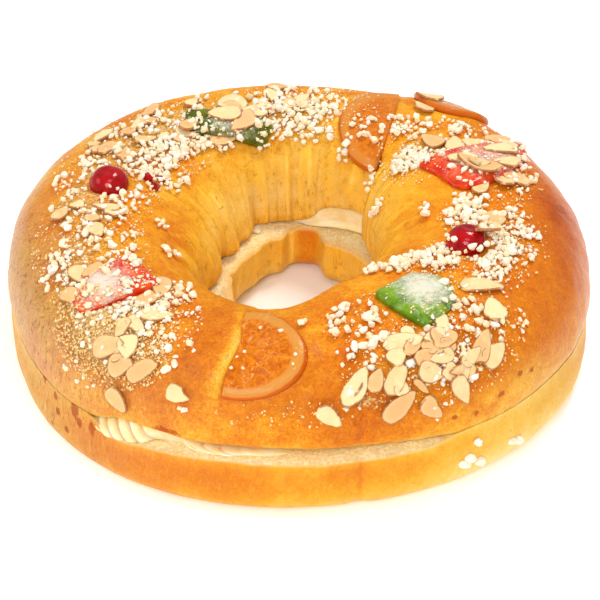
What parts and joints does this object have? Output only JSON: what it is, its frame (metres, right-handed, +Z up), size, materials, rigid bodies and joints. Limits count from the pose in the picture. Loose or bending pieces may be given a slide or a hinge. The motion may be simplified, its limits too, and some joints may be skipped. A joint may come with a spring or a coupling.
{
  "type": "cream-filled king cake",
  "caption": "Ring-shaped sweet bread split level and filled with piped cream, its top set with candied fruit, flaked almonds and pearl sugar.",
  "frame": {"origin": "on the table under the middle of the cake", "axes": "+Z up, -Y towards the front that shows the piped cream, +X to the right"},
  "size_m": [0.29, 0.2902, 0.0897],
  "materials": {
    "crust": "egg-washed baked crust, golden brown with a soft gloss",
    "cream": "pale whipped cream",
    "orange": "candied orange, moist and slightly clear",
    "cherry": "candied cherry, glossy deep red",
    "green_fruit": "candied green fruit, glossy under sugar",
    "red_fruit": "candied red fruit, glossy under sugar"
  },
  "bodies": {
    "root": {"bun_base": "crust", "cream": "cream", "bun_lid": "crust", "orange_slice_front": "orange", "orange_slice_back": "orange", "orange_slice_far": "orange", "cherry_left": "cherry", "cherry_right": "cherry", "candied_green_back": "green_fruit", "candied_green_front": "green_fruit", "candied_red_left": "red_fruit", "candied_red_right": "red_fruit"}
  },
  "joints": []
}
